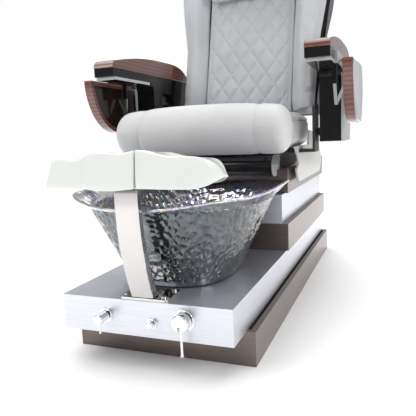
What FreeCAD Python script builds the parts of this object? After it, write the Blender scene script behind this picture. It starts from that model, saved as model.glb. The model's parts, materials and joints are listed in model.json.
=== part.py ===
"""Pedicure spa chair: a plinth and stepped deck with a foot basin, and a sliding, reclining massage seat.

Millimetres. X to the sitter's left, Y towards the back of the chair, Z up.
The origin is on the floor, at the middle of the plinth's underside.
"""
import math
import os

import FreeCAD
import Part

V = FreeCAD.Vector
X_AXIS = V(1, 0, 0)
Y_AXIS = V(0, 1, 0)
Z_AXIS = V(0, 0, 1)

# ---- driving dimensions: base ----
plinth_width = 506
plinth_length = 1308
plinth_height = 90
deck_width = 460
deck_length = 1411
deck_height = 90
deck_overhang = 97
panel = 15
base_board_thickness = 15
riser_lower_width = 476
riser_lower_height = 90
riser_lower_setback = 569
riser_middle_width = 436
riser_middle_height = 96
riser_upper_width = 458
riser_upper_height = 83
riser_upper_setback = 614
service_panel_width = 300
service_panel_height = 200
service_panel_thickness = 4
inlet_width = 48
inlet_height = 28

# ---- driving dimensions: foot basin and its water fittings ----
basin_lip_side = 38
basin_lip_end = 29
basin_mouth_half_width = 245
basin_mouth_half_length = 276
basin_foot_half_width = 152
basin_foot_half_length = 191
basin_wall = 8
basin_squareness = 2.6
basin_tuck_over_riser = 2
basin_lip_height = 17
basin_under_upper_deck = 37
jet_radius = 29
jet_flange_radius = 36
jet_cover_radius = 42
jet_cover_height = 18
jet_offset = 90
jet_depth = 70
drain_radius = 24
drain_bore = 20
drain_flange_radius = 34
drain_offset = 85
drain_depth = 70
stopper_radius = 30
stopper_thickness = 5

# ---- driving dimensions: front controls ----
mixer_x = 112
mixer_below_deck_top = 34
mixer_sleeve_radius = 16
mixer_cap_radius = 21
mixer_cap_length = 26
mixer_lever_length = 66
mixer_lever_radius = 3.2
diverter_x = -100
diverter_below_deck_top = 42
diverter_knob_radius = 12
diverter_knob_length = 34
drain_knob_x = 25
drain_knob_below_deck_top = 53
drain_knob_radius = 9
valve_length = 60

# ---- driving dimensions: footrest ----
post_width = 60
post_thickness_foot = 30
post_thickness_top = 20
post_forward_lean = 49
foot_plate_width = 130
foot_plate_depth = 90
foot_plate_thickness = 6
footrest_height = 462
footrest_wall = 6
footrest_bracket_thickness = 6
pad_gap = 4

# ---- driving dimensions: seat ----
rail_width = 34
rail_height = 12
rail_length = 640
rail_spacing = 330
screw_length = 400
slide_back = 100
seat_frame_height = 34
seat_half_width = 272
seat_cushion_thickness = 112
seat_cushion_front = 521
seat_cushion_back = 892
roll_radius = 82
roll_half_width = 278
roll_centre = 436
roll_above_frame = 6.7
skirt_thickness = 8
skirt_clearance = 14

# ---- driving dimensions: back ----
hinge_from_front = 960
hinge_lift = 141
back_tilt = 15
hinge_shaft_radius = 9
back_height = 850
back_foot = 40
back_cushion_half_width = 182
back_cushion_face = 46
back_cushion_thickness = 58
bolster_face = 95
bolster_half_width_low = 262
bolster_half_width_mid = 276
bolster_half_width_high = 308
bolster_half_width_top = 205
back_shell_depth = 84
back_shell_wall = 5
back_shell_foot_rise = 28
pillow_half_width = 170
pillow_low = 505
pillow_high = 760
pillow_thickness = 62
roller_radius = 20
carriage_low = 140
carriage_travel = 380

# ---- driving dimensions: arms and side trays ----
arm_clear_of_seat = 43
arm_width = 73
arm_front = 456
arm_leg_front = 745
arm_leg_back = 965
arm_back = 1125
arm_lift = 316
arm_leg_foot_lift = 82
arm_band = 28
arm_trim = 10
arm_shell_thickness = 10
arm_pivot_from_front = 775
arm_pivot_lift = 116
arm_pin_radius = 9
tray_radius = 181
tray_centre = 660
tray_gap = 20
tray_thickness = 29
tray_bulge = 13
tray_rim = 16
tray_hinge_radius = 6
tray_pin_radius = 3
tray_below_arm_band = 28
stay_upper_length = 70
stay_lower_length = 66
stay_width = 10
stay_thickness = 4

# ---- clearances ----
touch = 0.3
running = 0.05

# ---- levels and lines worked out from the sizes above ----
deck_front = -(plinth_length / 2 + deck_overhang)
deck_back = deck_front + deck_length
deck_top = plinth_height + deck_height
lower_top = deck_top + riser_lower_height
middle_top = lower_top + riser_middle_height
upper_top = middle_top + riser_upper_height
frame_bottom = upper_top + rail_height + touch
frame_top = frame_bottom + seat_frame_height
cushion_bottom = frame_top + 24
hinge_y = deck_front + hinge_from_front
hinge_z = upper_top + hinge_lift
basin_rim_half_width = basin_mouth_half_width + basin_lip_side
basin_rim_half_length = basin_mouth_half_length + basin_lip_end
arm_inner = seat_half_width + arm_clear_of_seat
arm_outer = arm_inner + arm_width
arm_shell_outer = arm_outer + arm_shell_thickness
band_bottom = upper_top + arm_lift + arm_trim
tray_inner = arm_shell_outer + tray_gap
tray_outer = tray_inner + tray_thickness
tray_hinge_x = (arm_shell_outer + tray_inner) / 2
tray_hinge_z = band_bottom
tray_top = tray_hinge_z - tray_hinge_radius + 1

parts = {}


# ---- shape helpers ----
def from_front(distance):
    """A Y position, stated as a distance behind the deck's front edge."""
    return deck_front + distance


def block(x0, x1, y0, y1, z0, z1):
    return Part.makeBox(x1 - x0, y1 - y0, z1 - z0, V(x0, y0, z0))


def round_bar(radius, start, end):
    run = V(*end) - V(*start)
    return Part.makeCylinder(radius, run.Length, V(*start), run)


def ring(outer, inner, start, end):
    return round_bar(outer, start, end).cut(round_bar(inner, start, end))


def join(shapes):
    joined = shapes[0]
    for shape in shapes[1:]:
        joined = joined.fuse(shape)
    return joined.removeSplitter()


def rounded(shape, radius, along):
    """Fillet the straight edges that run along an axis."""
    edges = []
    for edge in shape.Edges:
        if isinstance(edge.Curve, Part.Line) and abs(edge.Curve.Direction.dot(along)) > 0.999:
            edges.append(edge)
    return shape.makeFillet(radius, edges)


def open_box(x, y0, y1, z0, z1, wall):
    """A box with no floor, centred on X = 0, as a cabinet carcass is made."""
    outer = block(-x, x, y0, y1, z0, z1)
    return outer.cut(block(-x + wall, x - wall, y0 + wall, y1 - wall, z0 - 1, z1 - wall))


def outline(runs):
    """A closed wire of straight lines, and of smooth curves where a run has more than two points."""
    edges = []
    for run in runs:
        points = [V(*p) for p in run]
        if len(points) == 2:
            edges.append(Part.makeLine(points[0], points[1]))
        else:
            curve = Part.BSplineCurve()
            curve.interpolate(points)
            edges.append(curve.toShape())
    return Part.Wire(edges)


def prism(runs, along):
    return Part.Face(outline(runs)).extrude(along)


def side_profile(runs, x0, x1):
    """A solid from an outline of (y, z) runs, between two X planes."""
    placed = [[(x0, y, z) for y, z in run] for run in runs]
    return prism(placed, V(x1 - x0, 0, 0))


def superellipse(half_width, half_length, centre_y, z):
    points = []
    for step in range(32):
        turn = 2 * math.pi * step / 32
        c = math.cos(turn)
        s = math.sin(turn)
        x = half_width * math.copysign(abs(c) ** (2 / basin_squareness), c)
        y = half_length * math.copysign(abs(s) ** (2 / basin_squareness), s)
        points.append(V(x, centre_y + y, z))
    curve = Part.BSplineCurve()
    curve.interpolate(points, PeriodicFlag=True)
    return Part.Wire(curve.toShape())


def bowl(sections, centre_y):
    """A loft through (z, half width, half length) sections."""
    return Part.makeLoft([superellipse(a, b, centre_y, z) for z, a, b in sections], True, False)


def mirrored(shape):
    return shape.mirror(V(0, 0, 0), X_AXIS)


def both_sides(shape):
    return Part.makeCompound([shape, mirrored(shape)])


def leaned(shape):
    """Tilt a back part, drawn upright about the recline hinge, to its upright-seat angle."""
    turned = shape.copy()
    turned.rotate(V(0, hinge_y, hinge_z), X_AXIS, -back_tilt)
    return turned


# ---- base carcass ----
def make_plinth():
    x = plinth_width / 2
    y = plinth_length / 2
    outer = block(-x, x, -y, y, 0, plinth_height - touch)
    inner = block(-x + panel, x - panel, -y + panel, y - panel, -1, plinth_height)
    parts["plinth"] = outer.cut(inner)
    bx = x - panel - touch
    by = y - panel - touch
    parts["base_board"] = block(-bx, bx, -by, by, 0, base_board_thickness)


def make_deck(basin_y):
    x = deck_width / 2
    deck = open_box(x, deck_front, deck_back, plinth_height, deck_top, panel)
    top = (plinth_height, deck_top + 1)
    jet_y = basin_y - jet_offset
    drain_y = basin_y + drain_offset
    deck = deck.cut(round_bar(jet_radius + 1, (0, jet_y, top[0]), (0, jet_y, top[1])))
    deck = deck.cut(round_bar(drain_radius + 1, (0, drain_y, top[0]), (0, drain_y, top[1])))
    for cx, drop, radius in (
        (mixer_x, mixer_below_deck_top, mixer_sleeve_radius + touch),
        (diverter_x, diverter_below_deck_top, 9),
        (drain_knob_x, drain_knob_below_deck_top, 5),
    ):
        z = deck_top - drop
        hole = round_bar(radius, (cx, deck_front - 1, z), (cx, deck_front + panel + 1, z))
        deck = deck.cut(hole)
    parts["deck"] = deck


def make_risers():
    lower_front = from_front(riser_lower_setback)
    upper_front = from_front(riser_upper_setback)
    lower = open_box(riser_lower_width / 2, lower_front, deck_back, deck_top + touch, lower_top, panel)
    middle = open_box(riser_middle_width / 2, lower_front, deck_back, lower_top + touch, middle_top, panel)
    upper = open_box(riser_upper_width / 2, upper_front, deck_back, middle_top + touch, upper_top, panel)
    parts["riser_lower"] = lower
    parts["riser_middle"] = middle
    parts["riser_upper"] = upper
    panel_middle_z = (deck_top + upper_top) / 2
    half_height = service_panel_height / 2
    face = deck_back + touch
    back = face + service_panel_thickness
    half_width = service_panel_width / 2
    low = panel_middle_z - half_height
    cover = block(-half_width, half_width, face, back, low, low + service_panel_height)
    cover = rounded(cover, 8, Y_AXIS)
    for row in range(6):
        z = panel_middle_z - 50 + 16 * row
        cover = cover.cut(block(-90, 90, face - 1, back + 1, z, z + 5))
    parts["service_panel"] = cover


def make_power_inlet():
    """A flanged mains inlet on the back of the deck, with no lead in it."""
    z = plinth_height + deck_height / 2
    face = deck_back + touch
    x = 150
    flange = block(x - 30, x + 30, face, face + 3, z - 18, z + 18)
    half = inlet_width / 2
    body = block(x - half, x + half, face, face + 12, z - inlet_height / 2, z + inlet_height / 2)
    well = block(x - 17, x + 17, face + 3, face + 13, z - 9, z + 9)
    pins = [round_bar(2, (x + dx, face + 3, z), (x + dx, face + 10, z)) for dx in (-9, 0, 9)]
    parts["power_inlet"] = join([flange.fuse(body).cut(well)] + pins)


# ---- foot basin ----
def make_basin(basin_y):
    foot = deck_top + touch
    mouth = upper_top - basin_under_upper_deck - basin_lip_height
    height = mouth - foot
    wall = basin_wall
    spread_w = basin_mouth_half_width - basin_foot_half_width
    spread_l = basin_mouth_half_length - basin_foot_half_length
    outer = [(foot, basin_foot_half_width - 12, basin_foot_half_length - 12)]
    inner = []
    for share, flare in ((0.05, 0.05), (0.33, 0.5), (0.68, 0.79), (0.87, 0.91), (1.0, 1.0)):
        a = basin_foot_half_width + spread_w * flare
        b = basin_foot_half_length + spread_l * flare
        outer.append((foot + height * share, a, b))
    inner.append((foot + wall, basin_foot_half_width - 2 * wall, basin_foot_half_length - 2 * wall))
    for share, flare in ((0.36, 0.52), (0.70, 0.80), (0.87, 0.91), (1.0, 1.0)):
        a = basin_foot_half_width + spread_w * flare - wall
        b = basin_foot_half_length + spread_l * flare - wall
        inner.append((foot + height * share, a, b))
    lip = [
        (mouth, basin_mouth_half_width, basin_mouth_half_length),
        (mouth + basin_lip_height, basin_rim_half_width, basin_rim_half_length),
    ]
    lip_inner = [
        (mouth, basin_mouth_half_width - wall, basin_mouth_half_length - wall),
        (mouth + basin_lip_height, basin_rim_half_width - 2 * wall, basin_rim_half_length - 2 * wall),
        (mouth + 2 * basin_lip_height, basin_rim_half_width + wall, basin_rim_half_length + wall),
    ]
    shell = bowl(outer, basin_y).fuse(bowl(lip, basin_y))
    shell = shell.cut(bowl(inner, basin_y)).cut(bowl(lip_inner, basin_y))
    for offset, radius in ((-jet_offset, jet_radius + touch), (drain_offset, drain_radius + touch)):
        y = basin_y + offset
        shell = shell.cut(round_bar(radius, (0, y, foot - 1), (0, y, foot + 3 * wall)))
    parts["basin"] = shell
    return foot + wall


def make_drain(basin_y, floor):
    y = basin_y + drain_offset
    pipe = round_bar(drain_radius, (0, y, floor - drain_depth), (0, y, floor + 0.2))
    flange = round_bar(drain_flange_radius, (0, y, floor + 0.2), (0, y, floor + 2.5))
    bore = round_bar(drain_bore, (0, y, floor - drain_depth - 1), (0, y, floor + 3))
    bridge = block(-drain_bore - 1, drain_bore + 1, y - 3, y + 3, floor - 30, floor - 26)
    guide = round_bar(8, (0, y, floor - 34), (0, y, floor - 22))
    guide_bore = round_bar(4 + running, (0, y, floor - 40), (0, y, floor))
    parts["basin_drain"] = join([pipe.fuse(flange).cut(bore), bridge, guide]).cut(guide_bore)
    disc_bottom = floor + 2.5 + touch
    disc = round_bar(stopper_radius, (0, y, disc_bottom), (0, y, disc_bottom + stopper_thickness))
    disc = disc.makeFillet(1.5, [disc.Edges[0], disc.Edges[2]])
    stem = round_bar(4, (0, y, floor - 40), (0, y, disc_bottom + 1))
    parts["drain_stopper"] = join([disc, stem])


def make_jet(basin_y, floor):
    y = basin_y - jet_offset
    body = round_bar(jet_radius, (0, y, floor - jet_depth), (0, y, floor + 0.2))
    flange = round_bar(jet_flange_radius, (0, y, floor + 0.2), (0, y, floor + 3))
    stub = round_bar(3, (0, y, floor + 2), (0, y, floor + 11))
    parts["jet_motor"] = join([body, flange, stub])
    hub = round_bar(8, (0, y, floor + 4), (0, y, floor + 12))
    blades = []
    for step in range(6):
        blade = block(6, 26, y - 1, y + 1, floor + 4.5, floor + 11)
        blade.rotate(V(0, y, 0), Z_AXIS, 60 * step)
        blades.append(blade)
    impeller = join([hub] + blades)
    parts["jet_impeller"] = impeller.cut(round_bar(3 + running, (0, y, floor), (0, y, floor + 14)))
    bottom = floor + 0.2
    top = bottom + jet_cover_height
    cup = round_bar(jet_cover_radius, (0, y, bottom), (0, y, top))
    cup = cup.makeFillet(4, [cup.Edges[0]])
    cup = cup.cut(round_bar(jet_cover_radius - 3, (0, y, bottom - 1), (0, y, top - 3)))
    for count, radius in ((6, 12), (12, 24)):
        for step in range(count):
            turn = 2 * math.pi * step / count
            hole_x = radius * math.cos(turn)
            hole_y = y + radius * math.sin(turn)
            cup = cup.cut(round_bar(2.5, (hole_x, hole_y, top - 8), (hole_x, hole_y, top + 1)))
    parts["jet_cover"] = cup


# ---- front controls ----
def make_controls():
    face = deck_front
    back = face + panel + touch
    z = deck_top - mixer_below_deck_top
    cap_start = face - 10
    cap_end = cap_start - mixer_cap_length
    sleeve = round_bar(mixer_sleeve_radius, (mixer_x, cap_start + 1, z), (mixer_x, back + 1, z))
    body = round_bar(mixer_sleeve_radius + 1, (mixer_x, back, z), (mixer_x, back + valve_length, z))
    spindle = round_bar(6, (mixer_x, cap_start - 12, z), (mixer_x, cap_start + 2, z))
    ports = []
    for dx in (-1, 1):
        start = (mixer_x + 9 * dx, back + valve_length / 2, z)
        end = (mixer_x + 9 * dx, back + valve_length / 2, plinth_height + 8)
        ports.append(round_bar(8, start, end))
    parts["mixer_valve"] = join([sleeve, body, spindle] + ports)

    cap = round_bar(mixer_cap_radius, (mixer_x, cap_start, z), (mixer_x, cap_end, z))
    cap = cap.makeFillet(3, [cap.Edges[0], cap.Edges[2]])
    cap = cap.cut(round_bar(6 + running, (mixer_x, cap_start + 1, z), (mixer_x, cap_start - 13, z)))
    lever_y = (cap_start + cap_end) / 2 - 3
    slot = block(mixer_x - 5, mixer_x + 5, cap_end - 1, lever_y + 5, z - mixer_cap_radius - 1, z - 7)
    cap = cap.cut(slot)
    pin = round_bar(2, (mixer_x - 12, lever_y, z - 13), (mixer_x + 12, lever_y, z - 13))
    parts["mixer_cap"] = join([cap, pin])
    eye = round_bar(4.6, (mixer_x - 4, lever_y, z - 13), (mixer_x + 4, lever_y, z - 13))
    lever_end = z - 13 - mixer_lever_length
    rod = round_bar(mixer_lever_radius, (mixer_x, lever_y, z - 15), (mixer_x, lever_y, lever_end))
    tip = Part.makeSphere(mixer_lever_radius + 1, V(mixer_x, lever_y, lever_end))
    hole = round_bar(2 + running, (mixer_x - 6, lever_y, z - 13), (mixer_x + 6, lever_y, z - 13))
    parts["mixer_lever"] = join([eye, rod, tip]).cut(hole)

    dz = deck_top - diverter_below_deck_top
    stem = round_bar(6, (diverter_x, face - 20, dz), (diverter_x, back + 1, dz))
    valve = round_bar(15, (diverter_x, back, dz), (diverter_x, back + valve_length - 10, dz))
    parts["diverter_valve"] = join([stem, valve])
    knob_start = face - 9
    knob_end = knob_start - diverter_knob_length
    knob = round_bar(diverter_knob_radius, (diverter_x, knob_start, dz), (diverter_x, knob_end, dz))
    knob = knob.makeFillet(2.5, [knob.Edges[0], knob.Edges[2]])
    knob = knob.cut(round_bar(6 + running, (diverter_x, knob_start + 1, dz), (diverter_x, face - 21, dz)))
    pin_y = knob_end + 8
    pin = round_bar(2.2, (diverter_x, pin_y, dz - 8), (diverter_x, pin_y, dz - 34))
    pin_tip = Part.makeSphere(3, V(diverter_x, pin_y, dz - 34))
    parts["diverter_knob"] = join([knob, pin, pin_tip])

    kz = deck_top - drain_knob_below_deck_top
    button = round_bar(drain_knob_radius, (drain_knob_x, face - 6, kz), (drain_knob_x, face - 18, kz))
    button = button.makeFillet(3, [button.Edges[0], button.Edges[2]])
    rod = round_bar(4, (drain_knob_x, face - 8, kz), (drain_knob_x, face + 50, kz))
    parts["drain_knob"] = join([button, rod])

    collars = []
    for cx, cz, outer, inner, length in (
        (mixer_x, z, mixer_cap_radius + 5, mixer_sleeve_radius + touch, 7),
        (diverter_x, dz, diverter_knob_radius + 5, 6 + touch, 6),
        (drain_knob_x, kz, drain_knob_radius + 4, 4 + running, 4),
    ):
        collar = ring(outer, inner, (cx, face - touch, cz), (cx, face - length, cz))
        collars.append(collar)
    parts["control_escutcheons"] = Part.makeCompound(collars)


# ---- footrest ----
def make_footrest_post():
    plate_front = from_front(2)
    plate_bottom = deck_top + 0.2
    plate_top = plate_bottom + foot_plate_thickness
    half = foot_plate_width / 2
    plate = block(-half, half, plate_front, plate_front + foot_plate_depth, plate_bottom, plate_top)
    plate = rounded(plate, 10, Z_AXIS)
    bolts = []
    for bx in (-1, 1):
        for by in (0.17, 0.83):
            x = bx * (half - 14)
            y = plate_front + foot_plate_depth * by
            plate = plate.cut(round_bar(4.3, (x, y, plate_bottom - 1), (x, y, plate_top + 1)))
            head = round_bar(7, (x, y, plate_top + 0.1), (x, y, plate_top + 5))
            head = head.makeFillet(1.2, [head.Edges[0]])
            shank = round_bar(4, (x, y, plate_bottom), (x, y, plate_top + 1))
            bolts.append(join([head, shank]))
    parts["footrest_base_plate"] = plate
    parts["footrest_bolts"] = Part.makeCompound(bolts)

    bottom = plate_top + 0.1
    top = footrest_height - footrest_bracket_thickness - touch
    rise = top - bottom
    front_foot = plate_front + 1
    lean = post_forward_lean
    front = [(front_foot, bottom), (front_foot - 0.66 * lean, bottom + 0.36 * rise), (front_foot - lean, top)]
    back_foot_y = front_foot + post_thickness_foot
    back_top_y = front_foot - lean + post_thickness_top
    middle_y = front_foot - 0.66 * lean + (post_thickness_foot + post_thickness_top) / 2
    back = [(back_top_y, top), (middle_y, bottom + 0.36 * rise), (back_foot_y, bottom)]
    runs = [front, [front[-1], back[0]], back, [back[-1], front[0]]]
    post = side_profile(runs, -post_width / 2, post_width / 2)
    parts["footrest_post"] = post
    bracket_y0 = front_foot - lean + 2
    bracket = block(-95, 115, bracket_y0, bracket_y0 + 110, top + 0.1, footrest_height)
    parts["footrest_bracket"] = rounded(bracket, 12, Z_AXIS)


def inset(plan, wall):
    """The outline's points drawn in towards its middle, so that the sides come in by a wall."""
    points = [p for run in plan for p in run]
    low = [min(p[i] for p in points) for i in (0, 1)]
    high = [max(p[i] for p in points) for i in (0, 1)]
    middle = [(low[i] + high[i]) / 2 for i in (0, 1)]
    scale = [1 - 2 * wall / (high[i] - low[i]) for i in (0, 1)]
    drawn = []
    for run in plan:
        drawn.append([tuple(middle[i] + (p[i] - middle[i]) * scale[i] for i in (0, 1)) for p in run])
    return drawn


def pad_solid(plan, elevation, shrink):
    """The part common to a plan outline and a front elevation, inset by shrink all round and at the top."""
    low = footrest_height - 1 if shrink else footrest_height + touch
    flat = [[(x, y, low) for x, y in run] for run in inset(plan, shrink)]
    column = prism(flat, V(0, 0, 200))
    y0 = from_front(-200)
    raised = [[(x, y0, footrest_height + z - shrink) for x, z in run] for run in elevation]
    slab = prism(raised, V(0, 500, 0))
    return column.common(slab)


def make_pad(name, plan, elevation, bosses):
    pad = pad_solid(plan, elevation, 0).cut(pad_solid(plan, elevation, footrest_wall))
    solid = pad_solid(plan, elevation, 0)
    for x, y in bosses:
        post = round_bar(9, (x, y, footrest_height + touch), (x, y, footrest_height + 100))
        pad = pad.fuse(post.common(solid))
    parts[name] = pad.removeSplitter()


def make_footrest_pads():
    f = from_front
    gap = 29
    left_plan = [
        [(-216, f(-44)), (-150, f(-52)), (-98, f(-56)), (-30, f(-62)), (gap - pad_gap / 2, f(-54))],
        [(gap - pad_gap / 2, f(-54)), (gap - pad_gap / 2, f(104))],
        [(gap - pad_gap / 2, f(104)), (-60, f(106)), (-150, f(98)), (-196, f(70)), (-216, f(20))],
        [(-216, f(20)), (-216, f(-44))],
    ]
    left_elevation = [
        [(-217, -9), (gap - pad_gap / 2, -9)],
        [(gap - pad_gap / 2, -9), (gap - pad_gap / 2, 79)],
        [(gap - pad_gap / 2, 79), (-5, 75), (-50, 79), (-98, 68), (-150, 63), (-190, 62)],
        [(-190, 62), (-217, -9)],
    ]
    make_pad("footrest_pad_left", left_plan, left_elevation, [(-70, f(20)), (5, f(20))])
    right_plan = [
        [(gap + pad_gap / 2, f(-54)), (90, f(-58)), (165, f(-54))],
        [(165, f(-54)), (196, f(-40)), (208, f(0))],
        [(208, f(0)), (206, f(50)), (186, f(86)), (150, f(100)), (gap + pad_gap / 2, f(104))],
        [(gap + pad_gap / 2, f(104)), (gap + pad_gap / 2, f(-54))],
    ]
    right_elevation = [
        [(gap + pad_gap / 2, 81), (gap + pad_gap / 2, -9)],
        [(gap + pad_gap / 2, -9), (170, -9)],
        [(170, -9), (196, 2), (219, 20)],
        [(219, 20), (204, 54), (184, 65), (148, 66), (105, 68), (54, 82), (gap + pad_gap / 2, 81)],
    ]
    make_pad("footrest_pad_right", right_plan, right_elevation, [(50, f(20)), (100, f(20))])


# ---- seat ----
def make_slide():
    y0 = deck_back - 60 - rail_length
    rails = []
    for side in (-1, 1):
        x = side * rail_spacing / 2
        half = rail_width / 2
        rail = block(x - half, x + half, y0, y0 + rail_length, upper_top, upper_top + rail_height)
        rails.append(rail)
    parts["seat_rails"] = Part.makeCompound(rails)
    screw_z = upper_top + 30
    motor_y = deck_back - 130
    foot = block(-30, 30, motor_y, motor_y + 90, upper_top, screw_z)
    motor = round_bar(26, (0, motor_y, screw_z), (0, motor_y + 90, screw_z))
    screw = round_bar(7, (0, motor_y + 1, screw_z), (0, motor_y - screw_length, screw_z))
    motor = motor.common(block(-40, 40, motor_y - 1, motor_y + 100, upper_top, screw_z + 60))
    parts["slide_motor"] = join([foot, motor, screw])


def make_seat_frame():
    x = rail_spacing / 2 + rail_width / 2 + 10
    y0 = from_front(seat_cushion_front - 70)
    y1 = from_front(seat_cushion_back + 70)
    tray = block(-x, x, y0, y1, frame_bottom, frame_top)
    tray = tray.cut(block(-x + 30, x - 30, y0 + 30, y1 - 110, frame_bottom - 1, frame_top - 4))
    window = block(-x + 60, x - 60, y0 + 60, y1 - 140, frame_bottom - 1, frame_top + 1)
    tunnel = block(-32, 32, y1 - 200, y1 + 1, frame_bottom - 1, frame_top - 3)
    tray = tray.cut(window).cut(tunnel)
    deck_pad = block(-x - 20, x + 20, from_front(seat_cushion_front + 20), from_front(seat_cushion_back - 40),
                     frame_top, cushion_bottom - touch)
    deck_pad = deck_pad.cut(block(-x + 60, x - 60, from_front(seat_cushion_front + 60),
                                  from_front(seat_cushion_back - 80), frame_top - 1, cushion_bottom))
    pieces = [tray, deck_pad]
    for side in (-1, 1):
        ear_x = side * 170
        lug = block(ear_x - 5, ear_x + 5, hinge_y - 30, y1 - 1, frame_top - 2, hinge_z)
        eye = round_bar(24, (ear_x - 5, hinge_y, hinge_z), (ear_x + 5, hinge_y, hinge_z))
        bore_radius = hinge_shaft_radius + running
        bore = round_bar(bore_radius, (ear_x - 6, hinge_y, hinge_z), (ear_x + 6, hinge_y, hinge_z))
        pieces.append(join([lug, eye]).cut(bore))
    parts["seat_frame"] = join(pieces)


def make_arm_brackets():
    """Cranked plates that carry the arms, each with the pin that its arm swings on."""
    pivot_y = from_front(arm_pivot_from_front)
    pivot_z = upper_top + arm_pivot_lift
    x_in = rail_spacing / 2 + rail_width / 2 + 30 + touch
    x_plate = arm_inner - 18
    foot = block(x_in, x_plate + 8, pivot_y - 70, pivot_y + 10, frame_top + 2, frame_top + 12)
    upright = block(x_plate, x_plate + 8, pivot_y - 70, pivot_y + 24, frame_top + 2, pivot_z + 96)
    upright = rounded(upright, 14, X_AXIS)
    pin = round_bar(arm_pin_radius, (x_plate + 1, pivot_y, pivot_z), (arm_inner + 40, pivot_y, pivot_z))
    nut = round_bar(14, (x_plate + 8, pivot_y, pivot_z), (x_plate + 14, pivot_y, pivot_z))
    bracket = join([foot, upright, pin, nut])
    parts["arm_brackets"] = both_sides(bracket)


def make_seat_pads():
    y0 = from_front(seat_cushion_front)
    y1 = from_front(seat_cushion_back)
    x = seat_half_width
    cushion = block(-x, x, y0, y1, cushion_bottom, cushion_bottom + seat_cushion_thickness)
    cushion = rounded(cushion, 30, Y_AXIS)
    parts["seat_cushion"] = cushion
    roll_y = from_front(roll_centre)
    roll_z = frame_top + roll_above_frame + roll_radius
    roll = round_bar(roll_radius, (-roll_half_width, roll_y, roll_z), (roll_half_width, roll_y, roll_z))
    roll = roll.makeFillet(roll_radius * 0.45, [roll.Edges[0], roll.Edges[2]])
    roll = roll.cut(block(-400, 400, y0 - touch, y0 + 400, 0, 2000))
    parts["seat_roll"] = roll

    cover_y = from_front(roll_centre + 42)
    cover_top = roll_z - roll_radius - 1
    cover_bottom = upper_top - 14
    x = rail_spacing / 2 + rail_width / 2 + 34
    radius = (cover_top - cover_bottom) / 2
    middle = (cover_top + cover_bottom) / 2
    nose = round_bar(radius, (-x, cover_y, middle), (x, cover_y, middle))
    frame_front = from_front(seat_cushion_front - 70)
    body = block(-x, x, cover_y, cover_y + radius + 46, cover_bottom, cover_top)
    cover = nose.fuse(body).removeSplitter()
    clear = block(-x + 3, x - 3, frame_front - 1, cover_y + 200, frame_bottom - 2, cover_top + 1)
    riser_clear = block(-x - 1, x + 1, from_front(riser_upper_setback) - slide_back, 1000, 0, upper_top + 2)
    parts["under_seat_cover"] = cover.cut(clear).cut(riser_clear)


def make_skirts():
    """Moulded side skirts that hang from the seat frame and hide the slide."""
    x0 = max(riser_upper_width, riser_middle_width) / 2 + skirt_clearance
    f = from_front
    low = middle_top + 30
    high = cushion_bottom + 48
    runs = [
        [(f(528), high - 12), (f(601), high - 28), (f(668), high - 64), (f(705), upper_top + 22),
         (f(668), upper_top - 6)],
        [(f(668), upper_top - 6), (f(700), low)],
        [(f(700), low), (f(1176), low)],
        [(f(1176), low), (f(1232), upper_top + 8), (f(1186), high - 76), (f(1134), high - 22)],
        [(f(1134), high - 22), (f(1000), high), (f(700), high), (f(528), high - 12)],
    ]
    plate = side_profile(runs, x0, x0 + skirt_thickness)
    cushion_front = f(seat_cushion_front)
    cushion_back = f(seat_cushion_back)
    keep_clear = block(-2000, 2000, cushion_front - 20, cushion_back + 20, cushion_bottom - touch, 3000)
    plate = plate.cut(keep_clear)
    pivot_y = f(arm_pivot_from_front)
    slot = block(0, 400, pivot_y - 72, pivot_y + 12, frame_top, frame_top + 14)
    plate = plate.cut(slot)
    parts["skirt_left"] = mirrored(plate)
    parts["skirt_right"] = plate


# ---- back, drawn upright about the hinge and then leaned ----
def back_block(x0, x1, y0, y1, z0, z1):
    return block(x0, x1, hinge_y + y0, hinge_y + y1, hinge_z + z0, hinge_z + z1)


def back_outline(inset, low, high):
    """The front outline of the back as (x, z) runs about the hinge, for the right half and mirrored."""
    a = bolster_half_width_low - inset
    b = bolster_half_width_mid - inset
    c = bolster_half_width_high - inset
    d = bolster_half_width_top - inset
    shoulder = [(c, 0.66 * high), (c - 14, 0.82 * high), (d, high)]
    return [(a, low), (a + 2, 0.14 * high), (b, 0.42 * high)] + shoulder


def back_slab(inset, low, high, y0, y1):
    side = back_outline(inset, low, high)
    right = [(x, hinge_y + y0, hinge_z + z) for x, z in side]
    left = [(-x, hinge_y + y0, hinge_z + z) for x, z in reversed(side)]
    crown = [right[-1], (0, hinge_y + y0, hinge_z + high + 26), left[0]]
    runs = [right, crown, left, [left[-1], right[0]]]
    return prism(runs, V(0, y1 - y0, 0))


def make_recline_motor():
    y = hinge_y
    z = hinge_z
    body = round_bar(29, (-138, y, z), (138, y, z))
    shaft = round_bar(hinge_shaft_radius, (-178, y, z), (178, y, z))
    parts["recline_motor"] = join([body, shaft])


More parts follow.
